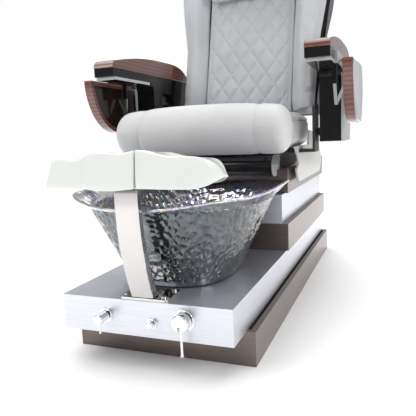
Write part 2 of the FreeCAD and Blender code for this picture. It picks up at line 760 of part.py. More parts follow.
def make_back():
    low = back_foot
    high = back_height
    shell_low = low + back_shell_foot_rise
    inner_y = back_cushion_thickness - back_cushion_face
    frame_y0 = inner_y + touch
    frame_y1 = frame_y0 + 26
    rail_y = frame_y1 + 22
    tubes = []
    for side in (-1, 1):
        x = side * 154
        tube = back_block(x - 6, x + 6, frame_y0, frame_y1, -4, high - 60)
        eye = round_bar(26, (x - 6, hinge_y, hinge_z), (x + 6, hinge_y, hinge_z))
        bore = round_bar(hinge_shaft_radius + running, (x - 7, hinge_y, hinge_z), (x + 7, hinge_y, hinge_z))
        rail = round_bar(6, (side * 70, hinge_y + rail_y, hinge_z + shell_low + 24),
                         (side * 70, hinge_y + rail_y, hinge_z + high - 70))
        tubes.append(join([tube, eye]).cut(bore))
        tubes.append(rail)
    for z0 in (shell_low + 14, high - 84):
        tubes.append(back_block(-156, 156, frame_y0, rail_y + 8, z0, z0 + 20))
    parts["back_frame"] = leaned(join(tubes))

    outer = back_slab(-6, shell_low, high, inner_y + 2, back_shell_depth + inner_y)
    hollow = back_slab(back_shell_wall - 6, shell_low + back_shell_wall, high - back_shell_wall,
                       inner_y + 1, back_shell_depth + inner_y - back_shell_wall)
    shell = outer.cut(hollow)
    for side in (-1, 1):
        x = side * 154
        slot = back_block(x - 8, x + 8, frame_y0 - 5, frame_y1 + 2, shell_low - 20, shell_low + 20)
        shell = shell.cut(slot)
    parts["back_shell"] = leaned(shell)

    half = back_cushion_half_width
    cushion = back_block(-half, half, -back_cushion_face, inner_y - 0.1, low, high - 60)
    parts["back_cushion"] = leaned(rounded(cushion, 16, Z_AXIS))

    slab = back_slab(0, low, high, -bolster_face, inner_y - touch)
    middle = back_block(-half - touch, half + touch, -bolster_face - 1, inner_y, low - 60, high - 60 + touch)
    bolsters = slab.cut(middle)
    parts["back_bolsters"] = leaned(bolsters)

    pillow = back_block(-pillow_half_width, pillow_half_width, -back_cushion_face - pillow_thickness,
                        -back_cushion_face - touch, pillow_low, pillow_high)
    parts["head_pillow"] = leaned(rounded(pillow, 24, X_AXIS))

    z = carriage_low
    body = back_block(-92, 92, rail_y - 9, rail_y + 9, z, z + 70)
    for side in (-1, 1):
        start = (side * 70, hinge_y + rail_y, hinge_z + z - 1)
        end = (side * 70, hinge_y + rail_y, hinge_z + z + 71)
        body = body.cut(round_bar(6 + 0.1, start, end))
    axle_y = frame_y0 + roller_radius + 1
    axle_z = z + 35
    arms = [body]
    for x in (-4, 4):
        arms.append(back_block(x * 20 - 4, x * 20 + 4, axle_y - 8, rail_y - 8, axle_z - 9, axle_z + 9))
    axle = round_bar(4, (-84, hinge_y + axle_y, hinge_z + axle_z), (84, hinge_y + axle_y, hinge_z + axle_z))
    parts["massage_carriage"] = leaned(join(arms + [axle]))
    wheels = []
    for x in (-52, 38):
        start = (x, hinge_y + axle_y, hinge_z + axle_z)
        end = (x + 14, hinge_y + axle_y, hinge_z + axle_z)
        wheels.append(round_bar(roller_radius - 3, start, end))
    tie_start = (-38, hinge_y + axle_y, hinge_z + axle_z)
    tie_end = (38, hinge_y + axle_y, hinge_z + axle_z)
    wheels.append(round_bar(9, tie_start, tie_end))
    line_y = hinge_y + axle_y
    line_z = hinge_z + axle_z
    bore = round_bar(4 + running, (-60, line_y, line_z), (60, line_y, line_z))
    parts["massage_rollers"] = leaned(join(wheels).cut(bore))


# ---- arms and trays, drawn on the right and mirrored ----
def add_pair(name, shape):
    parts[name + "_right"] = shape
    parts[name + "_left"] = mirrored(shape)


def arm_runs(low, front, inset):
    """The arm's side outline from its nose, over the top and down the leg, as (y, z) runs."""
    f = from_front
    top = band_bottom + arm_band
    foot = upper_top + arm_leg_foot_lift
    back = arm_back - inset
    return [
        [(f(front), top), (f(back - 40), top)],
        [(f(back - 40), top), (f(back), band_bottom - 30), (f(arm_leg_back + 60), foot + 110),
         (f(arm_leg_back - inset), foot)],
        [(f(arm_leg_back - inset), foot), (f(arm_leg_front), foot)],
        [(f(arm_leg_front), foot), (f(arm_leg_front), low - 26)],
        [(f(arm_leg_front), low - 26), (f(arm_leg_front - 9), low - 8), (f(arm_leg_front - 30), low)],
        [(f(arm_leg_front - 30), low), (f(front), low)],
        [(f(front), low), (f(front), top)],
    ]


def make_arms():
    f = from_front
    pivot_y = f(arm_pivot_from_front)
    pivot_z = upper_top + arm_pivot_lift
    band_top = band_bottom + arm_band
    window = side_profile([
        [(f(815), band_bottom - 130), (f(900), band_bottom - 130)],
        [(f(900), band_bottom - 130), (f(925), band_bottom - 90), (f(905), band_bottom - 40)],
        [(f(905), band_bottom - 40), (f(815), band_bottom - 30)],
        [(f(815), band_bottom - 30), (f(815), band_bottom - 130)],
    ], 0, 600)
    frame = side_profile(arm_runs(band_bottom, arm_front, 0), arm_inner, arm_outer)
    frame = frame.cut(window)
    bore_radius = arm_pin_radius + running
    bore = round_bar(bore_radius, (arm_inner - 1, pivot_y, pivot_z), (arm_inner + 41, pivot_y, pivot_z))
    frame = frame.cut(bore)
    stay_y = f(tray_centre) - 22
    stay_x = arm_outer - 10
    lug = block(stay_x - 8, stay_x + 8, stay_y - 8, stay_y - 2, tray_hinge_z - 62, band_bottom + 1)
    pin_z = tray_hinge_z - 53
    pin = round_bar(2.5, (stay_x, stay_y - 4, pin_z), (stay_x, stay_y + stay_thickness + 1, pin_z))
    trim_hole = block(stay_x - 10, stay_x + 10, stay_y - 10, stay_y, 0, band_bottom + 0.1)
    add_pair("arm_frame", join([frame, lug, pin]))

    trim = block(arm_inner, arm_outer + 1, f(arm_front + 12), f(arm_leg_front - 31), band_bottom - arm_trim,
                 band_bottom - touch)
    plate_runs = arm_runs(band_bottom - arm_trim, arm_front + 90, 8)
    plate = side_profile(plate_runs, arm_outer + touch, arm_shell_outer)
    barrels = []
    for y0 in (tray_centre - 90, tray_centre + 70):
        start = (tray_hinge_x, f(y0), tray_hinge_z)
        end = (tray_hinge_x, f(y0 + 20), tray_hinge_z)
        web = block(arm_outer + 5, tray_hinge_x, f(y0), f(y0 + 20), tray_hinge_z - 3, tray_hinge_z + 3)
        barrel = join([round_bar(tray_hinge_radius, start, end), web])
        barrels.append(barrel.cut(round_bar(tray_pin_radius + running, start, end)))
    shell = join([trim.cut(trim_hole), plate.cut(window)] + barrels)
    add_pair("arm_shell", shell)

    cap_top = band_top + touch
    cap = side_profile([
        [(f(arm_front - 2), cap_top), (f(arm_front + 2), cap_top + 14), (f(arm_front + 24), cap_top + 26)],
        [(f(arm_front + 24), cap_top + 26), (f(570), cap_top + 42), (f(720), cap_top + 58),
         (f(870), cap_top + 62), (f(1010), cap_top + 52), (f(arm_back - 50), cap_top + 22)],
        [(f(arm_back - 50), cap_top + 22), (f(arm_back - 50), cap_top)],
        [(f(arm_back - 50), cap_top), (f(arm_front - 2), cap_top)],
    ], arm_inner - 1, arm_outer + 1)
    add_pair("arm_cap", cap)


def half_disc(radius, x0, x1):
    f = from_front
    y = f(tray_centre)
    disc = round_bar(radius, (x0, y, tray_top), (x1, y, tray_top))
    return disc.common(block(x0 - 1, x1 + 1, y - 2 * radius, y + 2 * radius, tray_top - 2 * radius, tray_top))


def make_trays():
    f = from_front
    rim_radius = tray_radius
    rim = half_disc(rim_radius, tray_inner, tray_outer)
    bed = half_disc(rim_radius - tray_rim, tray_inner - 1, tray_outer + 1)
    bed = bed.common(block(0, 999, -2000, 2000, 0, tray_top - tray_rim))
    barrels = []
    for y0 in (tray_centre - 90 + 20 + touch, tray_centre + 70 - 20 - touch):
        start = (tray_hinge_x, f(y0), tray_hinge_z)
        end = (tray_hinge_x, f(y0 + 20), tray_hinge_z)
        web = block(tray_hinge_x, tray_inner + 4, f(y0), f(y0 + 20), tray_hinge_z - 6, tray_hinge_z + 1)
        barrels.append(join([round_bar(tray_hinge_radius, start, end), web]))
    for y0, y1 in ((tray_centre - 90, tray_centre - 50), (tray_centre + 50, tray_centre + 90)):
        start = (tray_hinge_x, f(y0), tray_hinge_z)
        end = (tray_hinge_x, f(y1), tray_hinge_z)
        barrels.append(round_bar(tray_pin_radius, start, end))
    add_pair("tray_rim", join([rim.cut(bed)] + barrels))
    fit = 0.2
    board = half_disc(rim_radius - tray_rim - fit, tray_inner + 4, tray_outer - 8)
    board = board.common(block(0, 999, -2000, 2000, 0, tray_top - tray_rim - fit))
    stay_y = f(tray_centre) - 22
    pivot_z = tray_hinge_z - 63
    pivot_x = tray_inner - 7
    lug_y0 = stay_y + 2 * stay_thickness + 3
    lug = block(pivot_x - 7, tray_inner + 5, lug_y0, lug_y0 + 6, pivot_z - 8, pivot_z + 8)
    pin = round_bar(2.5, (pivot_x, stay_y + stay_thickness + 2, pivot_z), (pivot_x, lug_y0 + 1, pivot_z))
    add_pair("tray_panel", join([board, lug, pin]))
    centre = V(tray_outer, f(tray_centre), tray_top - tray_radius * 0.45)
    reach = tray_radius - 10
    sphere_radius = (reach ** 2 + tray_bulge ** 2) / (2 * tray_bulge)
    dome = Part.makeSphere(sphere_radius, V(tray_outer + tray_bulge - sphere_radius, centre.y, centre.z))
    skin = half_disc(tray_radius - 4, tray_outer - 7.8, tray_outer + tray_bulge + 1)
    inside = half_disc(tray_radius - tray_rim - fit, tray_outer - 7.8, tray_outer + 0.1)
    inside = inside.common(block(0, 999, -2000, 2000, 0, tray_top - tray_rim - fit))
    outside = skin.common(block(tray_outer + 0.1, 999, -2000, 2000, 0, tray_top - 4))
    add_pair("tray_shell", join([outside.common(dome), inside]))


def link_bar(x0, z0, x1, z1, y):
    """A flat bar with round ends and a hole at its first end, in a plane across the chair."""
    start = (x0, y, z0)
    end = (x1, y, z1)
    half = stay_width / 2
    ends = []
    for x, z in ((x0, z0), (x1, z1)):
        ends.append(round_bar(half, (x, y, z), (x, y + stay_thickness, z)))
    run = V(*end) - V(*start)
    across = V(-run.z, 0, run.x)
    across.normalize()
    side = across * half
    corners = [V(*start) + side, V(*end) + side, V(*end) - side, V(*start) - side]
    bar = Part.Face(Part.makePolygon(corners + [corners[0]])).extrude(V(0, stay_thickness, 0))
    bar = join(ends + [bar])
    return bar.cut(round_bar(2.5 + running, (x0, y - 1, z0), (x0, y + stay_thickness + 1, z0)))


def make_stays():
    """Two-link folding stays. Their elbow is left unpinned."""
    f = from_front
    stay_y = f(tray_centre) - 22
    x0 = arm_outer - 10
    z0 = tray_hinge_z - 53
    x1 = tray_inner - 7
    z1 = tray_hinge_z - 63
    span = math.hypot(x1 - x0, z1 - z0)
    along = (stay_upper_length ** 2 - stay_lower_length ** 2 + span ** 2) / (2 * span)
    down = math.sqrt(stay_upper_length ** 2 - along ** 2)
    ux = (x1 - x0) / span
    uz = (z1 - z0) / span
    elbow_x = x0 + along * ux + down * uz
    elbow_z = z0 + along * uz - down * ux
    add_pair("tray_stay_upper", link_bar(x0, z0, elbow_x, elbow_z, stay_y - 1))
    add_pair("tray_stay_lower", link_bar(x1, z1, elbow_x, elbow_z, stay_y + stay_thickness + 2.5))
    print("stay elbow", round(elbow_x, 1), round(elbow_z, 1))


def make_all():
    basin_y = from_front(riser_lower_setback) - basin_mouth_half_length + basin_tuck_over_riser
    make_plinth()
    make_deck(basin_y)
    make_risers()
    make_power_inlet()
    floor = make_basin(basin_y)
    make_drain(basin_y, floor)
    make_jet(basin_y, floor)
    make_controls()
    make_footrest_post()
    make_footrest_pads()
    make_slide()
    make_seat_frame()
    make_arm_brackets()
    make_seat_pads()
    make_skirts()
    make_recline_motor()
    make_back()
    make_arms()
    make_trays()
    make_stays()


make_all()
os.makedirs("parts", exist_ok=True)
for name, shape in parts.items():
    shape.exportStep("parts/" + name + ".step")
    if not shape.isValid():
        print("not valid:", name)
print(len(parts), "parts")
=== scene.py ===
import bpy
import json
import math
from mathutils import Matrix, Vector, noise


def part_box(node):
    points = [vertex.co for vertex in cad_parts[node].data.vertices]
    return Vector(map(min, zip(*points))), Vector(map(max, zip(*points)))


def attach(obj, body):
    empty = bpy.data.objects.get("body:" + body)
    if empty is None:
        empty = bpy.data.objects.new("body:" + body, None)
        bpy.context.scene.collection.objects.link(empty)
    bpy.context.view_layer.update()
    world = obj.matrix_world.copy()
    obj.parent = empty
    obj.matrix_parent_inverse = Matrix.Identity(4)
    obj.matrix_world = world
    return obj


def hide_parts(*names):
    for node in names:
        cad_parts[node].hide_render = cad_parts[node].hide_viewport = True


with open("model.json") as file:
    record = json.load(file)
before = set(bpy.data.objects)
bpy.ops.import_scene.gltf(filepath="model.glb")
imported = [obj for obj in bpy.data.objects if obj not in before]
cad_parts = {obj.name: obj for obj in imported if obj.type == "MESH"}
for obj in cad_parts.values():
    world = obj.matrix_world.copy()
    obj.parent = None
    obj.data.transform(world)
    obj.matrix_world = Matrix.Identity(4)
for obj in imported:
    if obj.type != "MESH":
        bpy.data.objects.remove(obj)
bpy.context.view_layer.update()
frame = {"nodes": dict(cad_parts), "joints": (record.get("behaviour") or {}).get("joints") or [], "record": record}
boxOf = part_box
print("frame loaded:", len(frame["nodes"]), "CAD nodes")

# camera, floor and studio light

view = {
    "place": (0.5663, -1.7412, 0.5678),
    "azimuth": 21.30,      # degrees to the chair's own left of straight on
    "elevation": 8.46,
    "roll": -2.32,
    "lens": 42.25,
}


def aimCamera():
    azimuth, elevation, roll = (math.radians(view[key]) for key in ("azimuth", "elevation", "roll"))
    level = math.cos(elevation)
    back = Vector((math.sin(azimuth) * level, -math.cos(azimuth) * level, math.sin(elevation)))
    right = Vector((math.cos(azimuth), math.sin(azimuth), 0))
    up = back.cross(right)
    c, s = math.cos(roll), math.sin(roll)
    right, up = c * right + s * up, c * up - s * right
    turn = Matrix((right, up, back)).transposed().to_4x4()
    bpy.ops.object.camera_add()
    camera = bpy.context.object
    camera.matrix_world = Matrix.Translation(view["place"]) @ turn
    camera.data.lens = view["lens"]
    camera.data.sensor_width = 36
    camera.data.clip_start = 0.02
    bpy.context.scene.camera = camera


studio = {
    "floorTone": 0.95,
    "floorSize": 14,
    "airTone": 1.0,        # what the camera sees behind the chair
    "wallTone": 0.40,      # what the polished parts see between the lights
    "skyWatts": 2.3,
    "skySoftness": 70,     # degrees
    "skyTilt": (-8, -6),   # degrees about X and Y
    "aimHeight": 0.5,
    "lamps": [             # name, place, size, watts
        ("keyLamp", (-1.6, -2.7, 2.3), 1.6, 34),
        ("sideLamp", (2.8, -0.9, 1.7), 1.4, 30),
        ("backLamp", (-0.9, 2.9, 2.4), 2.0, 40),
    ],
}


def lightStudio():
    bpy.context.scene.view_settings.view_transform = "Standard"
    world = bpy.data.worlds.new("studioAir")
    bpy.context.scene.world = world
    world.use_nodes = True
    nodes = world.node_tree.nodes
    links = world.node_tree.links
    nodes.clear()
    seen = nodes.new("ShaderNodeLightPath")
    air = nodes.new("ShaderNodeBackground")
    walls = nodes.new("ShaderNodeBackground")
    either = nodes.new("ShaderNodeMixShader")
    out = nodes.new("ShaderNodeOutputWorld")
    air.inputs["Color"].default_value = (studio["airTone"],) * 3 + (1,)
    walls.inputs["Color"].default_value = (studio["wallTone"],) * 3 + (1,)
    links.new(seen.outputs["Is Camera Ray"], either.inputs["Fac"])
    links.new(walls.outputs[0], either.inputs[1])
    links.new(air.outputs[0], either.inputs[2])
    links.new(either.outputs[0], out.inputs["Surface"])
    middle = Vector((0, 0, studio["aimHeight"]))
    for name, place, size, watts in studio["lamps"]:
        bpy.ops.object.light_add(type="AREA", location=place)
        lamp = bpy.context.object
        lamp.name = name
        lamp.data.size = size
        lamp.data.energy = watts
        lamp.rotation_euler = (middle - Vector(place)).to_track_quat("-Z", "Y").to_euler()
    tiltX, tiltY = (math.radians(angle) for angle in studio["skyTilt"])
    bpy.ops.object.light_add(type="SUN", location=(0, 0, 4), rotation=(tiltX, tiltY, 0))
    sky = bpy.context.object
    sky.name = "skyLight"
    sky.data.energy = studio["skyWatts"]
    sky.data.angle = math.radians(studio["skySoftness"])
    bpy.ops.mesh.primitive_plane_add(size=studio["floorSize"])
    floor = bpy.context.object
    floor.name = "studioFloor"
    return floor


aimCamera()
studioFloor = lightStudio()
print("camera, floor and lamps set")

# finishes


class Wire:
    # a node's socket that can be used in sums
    def __init__(self, finish, socket):
        self.finish = finish
        self.socket = socket

    def sum(self, operation, first, second):
        return self.finish.node("Math", {"operation": operation}, {0: first, 1: second})

    def __add__(self, other):
        return self.sum("ADD", self, other)

    def __radd__(self, other):
        return self.sum("ADD", other, self)

    def __mul__(self, other):
        return self.sum("MULTIPLY", self, other)

    def __rmul__(self, other):
        return self.sum("MULTIPLY", other, self)


class Finish:
    # one material and the nodes that vary it over the surface
    def __init__(self, name, **fixed):
        self.material = bpy.data.materials.new(name)
        self.material.use_nodes = True
        self.tree = self.material.node_tree
        self.shader = self.tree.nodes["Principled BSDF"]
        self.set(fixed)

    def feed(self, node, place, value):
        socket = node.inputs[place]
        if isinstance(value, Wire):
            self.tree.links.new(value.socket, socket)
        elif isinstance(value, (tuple, list)) and len(socket.default_value) == 4 and len(value) == 3:
            socket.default_value = (*value, 1)
        else:
            socket.default_value = value

    def set(self, values):
        for place, value in values.items():
            self.feed(self.shader, place.replace("_", " "), value)

    def node(self, kind, settings=None, values=None, out=0):
        made = self.tree.nodes.new("ShaderNode" + kind)
        for key, value in (settings or {}).items():
            if key == "stops":
                self.setStops(made.color_ramp, value)
            else:
                setattr(made, key, value)
        for place, value in (values or {}).items():
            self.feed(made, place, value)
        return Wire(self, made.outputs[out])

    def setStops(self, ramp, stops):
        while len(ramp.elements) < len(stops):
            ramp.elements.new(0.5)
        for element, (place, colour) in zip(ramp.elements, stops):
            element.position = place
            element.color = (*colour, 1) if isinstance(colour, tuple) else (colour, colour, colour, 1)

    def place(self, scale=(1, 1, 1)):
        spot = self.node("TexCoord", out="Object")
        return self.node("Mapping", None, {"Vector": spot, "Scale": scale})

    def grain(self, where, scale, detail=4, rough=0.5):
        given = {"Vector": where, "Scale": scale, "Detail": detail, "Roughness": rough}
        return self.node("TexNoise", None, given)

    def cells(self, where, scale, feature="F1", out=0):
        return self.node("TexVoronoi", {"feature": feature}, {"Vector": where, "Scale": scale}, out)

    def ramp(self, factor, stops):
        return self.node("ValToRGB", {"stops": stops}, {0: factor})

    def mix(self, factor, first, second):
        return self.node("Mix", {"data_type": "RGBA"}, {0: factor, 6: first, 7: second}, 2)

    def bump(self, height, depth, strength):
        given = {"Height": height, "Distance": depth, "Strength": strength}
        self.set({"Normal": self.node("Bump", None, given)})


def brushedLaminate(name, colour, shade, metal, rough):
    # metallic foil laminate: fine brush lines along the boards, slow cloudy change in tone
    finish = Finish(name, Metallic=metal, Coat_Weight=0.25, Coat_Roughness=0.12)
    lines = finish.grain(finish.place(scale=(1, 1, 26)), 14, 5, 0.6)
    cloud = finish.grain(finish.place(), 3, 3)
    tone = finish.ramp(lines * 0.6 + cloud * 0.4, [(0.3, shade), (0.72, colour)])
    finish.set({"Base Color": tone, "Roughness": rough + lines * 0.12})
    finish.bump(lines, 0.0002, 0.35)
    return finish.material


def leather(name, light, dark):
    # coated upholstery leather: pebble grain, faint creases, a little sheen
    finish = Finish(name, Sheen_Weight=0.12, Sheen_Roughness=0.4, Specular_IOR_Level=0.42)
    where = finish.place()
    pebble = finish.cells(where, 520, "SMOOTH_F1")
    pore = finish.grain(where, 900, 3)
    cloud = finish.grain(where, 7, 4)
    crease = finish.grain(finish.place(scale=(1, 1, 2.2)), 46, 6, 0.62)
    tone = finish.mix(finish.ramp(cloud, [(0.3, 0.0), (0.75, 1.0)]), dark, light)
    finish.set({"Base Color": finish.mix(pebble * 0.16, tone, dark), "Roughness": 0.42 + crease * 0.16})
    finish.bump(pebble * 0.5 + pore * 0.25 + crease * 0.5, 0.0012, 0.28)
    return finish.material


def polished(name, colour, rough):
    # bright metal with a faint haze of wiped-off smudges
    finish = Finish(name, Metallic=1.0)
    haze = finish.grain(finish.place(), 9, 4, 0.6)
    tone = finish.mix(haze, tuple(c * 0.9 for c in colour), colour)
    finish.set({"Base Color": tone, "Roughness": rough + haze * 0.05})
    return finish.material


def moulded(name, colour, rough, coat=0.6, texture=0.0, shine=0.5):
    # moulded plastic: glossy coat, very slight flow unevenness, or a spark-eroded texture
    finish = Finish(name, Coat_Weight=coat, Coat_Roughness=0.04, Specular_IOR_Level=shine)
    flow = finish.grain(finish.place(), 5, 3)
    tone = finish.mix(flow, tuple(c * 0.93 for c in colour), colour)
    finish.set({"Base Color": tone, "Roughness": rough + flow * 0.06})
    if texture:
        finish.bump(finish.grain(finish.place(), 260, 3), 0.0006, texture)
    return finish.material


def lacqueredWood(name, light, dark):
    # reddish veneer under thick gloss lacquer: long wavering grain with fine pores
    finish = Finish(name, Coat_Weight=1.0, Coat_Roughness=0.03, Roughness=0.32)
    where = finish.place(scale=(16, 0.9, 16))
    bend = finish.grain(where, 3.2, 4)
    band = finish.node("TexWave", {"wave_type": "BANDS", "bands_direction": "Z"},
                       {"Vector": where, "Scale": 1.5, "Distortion": 3.2, "Detail": 3, "Detail Scale": 1.2})
    pore = finish.grain(finish.place(scale=(60, 3, 60)), 8, 4)
    mask = finish.ramp(band * 0.6 + bend * 0.25 + pore * 0.25, [(0.25, 0.0), (0.8, 1.0)])
    finish.set({"Base Color": finish.mix(mask, dark, light)})
    finish.bump(pore, 0.0002, 0.15)
    return finish.material


def bareBoard(name):
    finish = Finish(name, Roughness=0.8)
    where = finish.place(scale=(3, 30, 30))
    streak = finish.grain(where, 3, 5, 0.6)
    finish.set({"Base Color": finish.ramp(streak, [(0.3, (0.40, 0.30, 0.19)), (0.7, (0.60, 0.48, 0.33))])})
    finish.bump(streak, 0.0005, 0.4)
    return finish.material


def smokedGlass(name):
    # hammered, mirror-backed smoke glass: dark and very reflective, with drifting silver
    finish = Finish(name, Metallic=0.92, Coat_Weight=0.8, Coat_Roughness=0.02)
    where = finish.place()
    cloud = finish.grain(where, 6, 4)
    streak = finish.grain(finish.place(scale=(2.4, 2.4, 0.8)), 22, 5, 0.6)
    steps = [(0.32, (0.050, 0.056, 0.062)), (0.54, (0.15, 0.165, 0.175)), (0.74, (0.33, 0.345, 0.355))]
    tone = finish.ramp(cloud * 0.5 + streak * 0.5, steps)
    finish.set({"Base Color": tone, "Roughness": 0.06 + cloud * 0.06})
    return finish.material


def plainFloor():
    finish = Finish("studioFloorPaint", Roughness=0.8, Specular_IOR_Level=0.0)
    cloud = finish.grain(finish.place(), 0.6, 2)
    tone = studio["floorTone"]
    finish.set({"Base Color": finish.mix(cloud, (tone, tone, tone), (tone + 0.01,) * 3)})
    return finish.material


finishes = {
    "laminate_bronze": brushedLaminate(
        "bronzeLaminate", (0.235, 0.19, 0.175), (0.15, 0.118, 0.108), metal=0.8, rough=0.24),
    "laminate_silver": brushedLaminate(
        "silverLaminate", (0.80, 0.81, 0.86), (0.66, 0.675, 0.73), metal=0.8, rough=0.3),
    "bare_board": bareBoard("rawPlywood"),
    "bowl_glass": smokedGlass("hammeredSmokeGlass"),
    "chrome": polished("brightChrome", (0.88, 0.89, 0.90), 0.03),
    "stainless": polished("polishedStainless", (0.66, 0.64, 0.63), 0.09),
    "steel_black": moulded("blackPowderCoat", (0.018, 0.018, 0.02), 0.45, 0.2, 0.3),
    "plastic_black": moulded("blackGlossPlastic", (0.006, 0.006, 0.007), 0.14, 0.35, shine=0.15),
    "plastic_white": moulded("whiteGlossPlastic", (0.80, 0.825, 0.79), 0.14, 0.9),
    "plastic_silver": moulded("silverPlastic", (0.52, 0.53, 0.55), 0.28, 0.5),
    "plastic_grey": moulded("greyShellPlastic", (0.075, 0.075, 0.08), 0.42, 0.2, 0.25),
    "skirt_grey": moulded("skirtPlastic", (0.70, 0.705, 0.675), 0.34, 0.25),
    "wood_veneer": lacqueredWood("lacqueredVeneer", (0.20, 0.060, 0.034), (0.085, 0.024, 0.014)),
    "tray_dark": moulded("trayInnerPlastic", (0.022, 0.013, 0.010), 0.12, 0.4, shine=0.2),
    "leather_seat": leather("seatLeather", (0.64, 0.64, 0.645), (0.56, 0.56, 0.565)),
    "leather_back": leather("backLeather", (0.55, 0.57, 0.59), (0.48, 0.50, 0.52)),
    "motor": moulded("motorPaint", (0.05, 0.05, 0.055), 0.4, 0.2, 0.2),
}
studioFloor.data.materials.append(plainFloor())
slotOf = {row["node"]: row["material_slot"] for row in frame["record"]["subparts"]}


def finishNode(node):
    # the CAD mesh keeps its shape and takes the shop finish
    mesh = frame["nodes"][node].data
    mesh.materials.clear()
    mesh.materials.append(finishes[slotOf[node]])


for node in frame["nodes"]:
    finishNode(node)
print("finishes:", len(finishes))

# bench tools


def pick(piece):
    bpy.ops.object.select_all(action="DESELECT")
    bpy.context.view_layer.objects.active = piece
    piece.select_set(True)


def edit(piece, *steps):
    # each step is an edit-mode operator and its settings; the whole mesh starts selected
    pick(piece)
    bpy.ops.object.mode_set(mode="EDIT")
    bpy.ops.mesh.select_all(action="SELECT")
    for operator, settings in steps:
        operator(**settings)
    bpy.ops.object.mode_set(mode="OBJECT")


def apply(piece, kind, **settings):
    pick(piece)
    modifier = piece.modifiers.new(kind.title(), kind)
    for key, value in settings.items():
        setattr(modifier, key, value)
    bpy.ops.object.modifier_apply(modifier=modifier.name)


def smooth(piece, angle=None):
    pick(piece)
    if angle is None:
        bpy.ops.object.shade_smooth()
    else:
        bpy.ops.object.shade_smooth_by_angle(angle=math.radians(angle))


def sculpt(piece, rule):
    # moves every point of the mesh by a rule
    for point in piece.data.vertices:
        point.co = rule(point.co)
    piece.data.update()


def choose(piece, kind, wanted):
    # goes into edit mode with only the wanted edges or faces selected
    pick(piece)
    bpy.context.tool_settings.mesh_select_mode = (False, kind == "EDGE", kind == "FACE")
    bpy.ops.object.mode_set(mode="EDIT")
    bpy.ops.mesh.select_all(action="DESELECT")
    bpy.ops.object.mode_set(mode="OBJECT")
    for element in piece.data.edges if kind == "EDGE" else piece.data.polygons:
        element.select = wanted(element)
    bpy.ops.object.mode_set(mode="EDIT")


def leaveEditing():
    bpy.ops.object.mode_set(mode="OBJECT")
    bpy.context.tool_settings.mesh_select_mode = (True, False, False)


def cutAlong(piece, axis, cuts):
    # divides a block's long edges that run along one axis, so that it can be shaped slice by slice
    def runsAlong(edge):
        start, end = (piece.data.vertices[i].co for i in edge.vertices)
        return abs(start[axis] - end[axis]) > 1

    choose(piece, "EDGE", runsAlong)
    bpy.ops.mesh.subdivide(number_cuts=cuts)
    leaveEditing()


def dropFaces(piece, wanted):
    choose(piece, "FACE", wanted)
    bpy.ops.mesh.delete(type="FACE")
    leaveEditing()


def ease(share):
    share = min(max(share, 0.0), 1.0)
    return share * share * (3 - 2 * share)


def follow(marks, place):
    # a smooth line through (place, value) marks
    if place <= marks[0][0]:
        return marks[0][1]
    for near, (start, end) in enumerate(zip(marks, marks[1:])):
        if place <= end[0]:
            before = marks[max(near - 1, 0)]
            after = marks[min(near + 2, len(marks) - 1)]
            span = end[0] - start[0]
            t = (place - start[0]) / span
            slopeIn = (end[1] - before[1]) / (end[0] - before[0]) * span
            slopeOut = (after[1] - start[1]) / (after[0] - start[0]) * span
            low, high = sorted((start[1], end[1]))
            curve = ((2 * t - 3) * t * t + 1) * start[1] + ((t - 2) * t + 1) * t * slopeIn
            curve += (3 - 2 * t) * t * t * end[1] + (t - 1) * t * t * slopeOut
            room = 0.15 * (high - low)
            return min(max(curve, low - room), high + room)
    return marks[-1][1]


def addSkin(name, across, along, rule, closed=True):
    # a sheet of small squares, wrapped to a shape by a rule on its (0..1, 0..1) place
    bpy.ops.mesh.primitive_grid_add(x_subdivisions=across, y_subdivisions=along, size=2)
    skin = bpy.context.object
    skin.name = name
    sculpt(skin, lambda p: rule((p.x + 1) / 2, (p.y + 1) / 2))
    if closed:
        edit(skin, (bpy.ops.mesh.remove_doubles, {"threshold": 0.00002}),
             (bpy.ops.mesh.normals_make_consistent, {"inside": False}))
    smooth(skin)
    return skin


def copyNode(node, name):
    piece = frame["nodes"][node].copy()
    piece.data = piece.data.copy()
    for key in list(piece.keys()):
        del piece[key]
    piece.name = name
    piece.parent = None
    piece.matrix_world = Matrix.Identity(4)
    bpy.context.scene.collection.objects.link(piece)
    edit(piece, (bpy.ops.mesh.remove_doubles, {"threshold": 0.00001}))
    return piece


rounding = {"flat": 0.4, "sharp": 38, "shading": 34, "steps": 3}   # angles in degrees, bevel steps


def roundedCopy(node, name, radius):
    # the CAD shape with its flat faces cleaned up and its sharp edges rounded, as a moulding comes out
    piece = copyNode(node, name)
    edit(piece, (bpy.ops.mesh.dissolve_limited, {"angle_limit": math.radians(rounding["flat"])}))
    apply(piece, "BEVEL", width=radius, segments=rounding["steps"], limit_method="ANGLE",
          angle_limit=math.radians(rounding["sharp"]))
    smooth(piece, rounding["shading"])
    apply(piece, "WEIGHTED_NORMAL", keep_sharp=True)
    return piece


def fit(piece, node):
    # the piece takes the CAD node's place, body and finish
    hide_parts(node)
    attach(piece, bodyOf[node])
    piece.data.materials.clear()
    piece.data.materials.append(finishes[slotOf[node]])
    return piece


bodyOf = {}
for bodyName, members in frame["record"]["behaviour"]["bodies"].items():
    for member in members:
        bodyOf[member] = bodyName

# the back leans about its hinge, and its parts are drawn upright and then leaned
hinge = next(Vector(joint["pos_m"]) for joint in frame["joints"] if joint["name"] == "back_recline")
upTheBack = next(Vector(joint["axis"]) for joint in frame["joints"] if joint["name"] == "massage_travel")
outOfBack = Vector((1, 0, 0)).cross(upTheBack)


def lean(x, y, z):
    return hinge + Vector((x, 0, 0)) - outOfBack * y + upTheBack * z


def upright(point):
    offset = point - hinge
    return Vector((offset.x, -offset.dot(outOfBack), offset.dot(upTheBack)))


# foot basin

